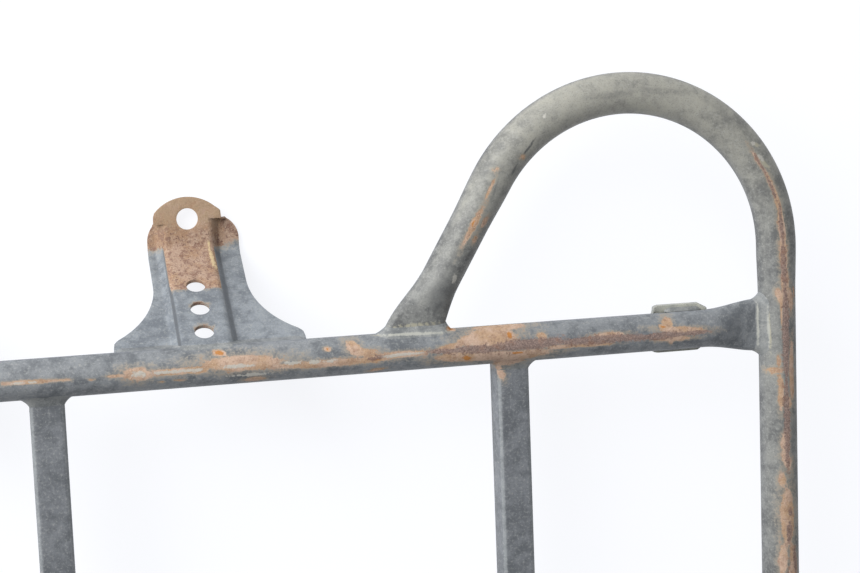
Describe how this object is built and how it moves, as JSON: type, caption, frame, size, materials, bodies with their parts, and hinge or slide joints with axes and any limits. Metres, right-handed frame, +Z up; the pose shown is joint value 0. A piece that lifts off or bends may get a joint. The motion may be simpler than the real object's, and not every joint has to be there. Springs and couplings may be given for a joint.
{
  "type": "atv rear cargo rack",
  "caption": "Welded tubular steel rear cargo rack with D-shaped tie-down loops at its front corners, square-tube slats and pressed hat-section mounting brackets.",
  "frame": {"origin": "on the plane that the four bracket feet stand on, under the middle of the rack's bounding box", "axes": "+X towards the rider's right, +Y forward, +Z up; the rack lies flat with its tubes' centre lines 78 mm above the origin"},
  "size_m": [0.8846, 0.5632, 0.0903],
  "materials": {
    "tube_paint": "worn satin black paint faded to blue-grey, with a rubbed and rusted line along the top",
    "slat_paint": "satin black paint, faded, with rust at the welds",
    "bracket_paint": "satin black paint, faded, with a rusted foot",
    "saddle_paint": "dusty olive-grey paint",
    "weld_bead_paint": "painted weld bead with rust stains"
  },
  "bodies": {
    "root": {"side_tube_right": "tube_paint", "side_tube_left": "tube_paint", "rear_tube": "tube_paint", "front_cross_tube": "tube_paint", "slat_left": "slat_paint", "slat_centre": "slat_paint", "slat_right": "slat_paint", "front_bracket_right": "bracket_paint", "front_bracket_left": "bracket_paint", "rear_bracket_right": "bracket_paint", "rear_bracket_left": "bracket_paint", "saddle_plate_right": "saddle_paint", "saddle_plate_left": "saddle_paint", "welds_cross_tube_ends": "weld_bead_paint", "welds_loop_feet": "weld_bead_paint", "welds_slats_front": "weld_bead_paint", "welds_slats_rear": "weld_bead_paint", "welds_front_brackets": "weld_bead_paint", "welds_rear_brackets": "weld_bead_paint", "welds_saddle_plates": "weld_bead_paint", "welds_rail_joints": "weld_bead_paint"}
  },
  "joints": []
}
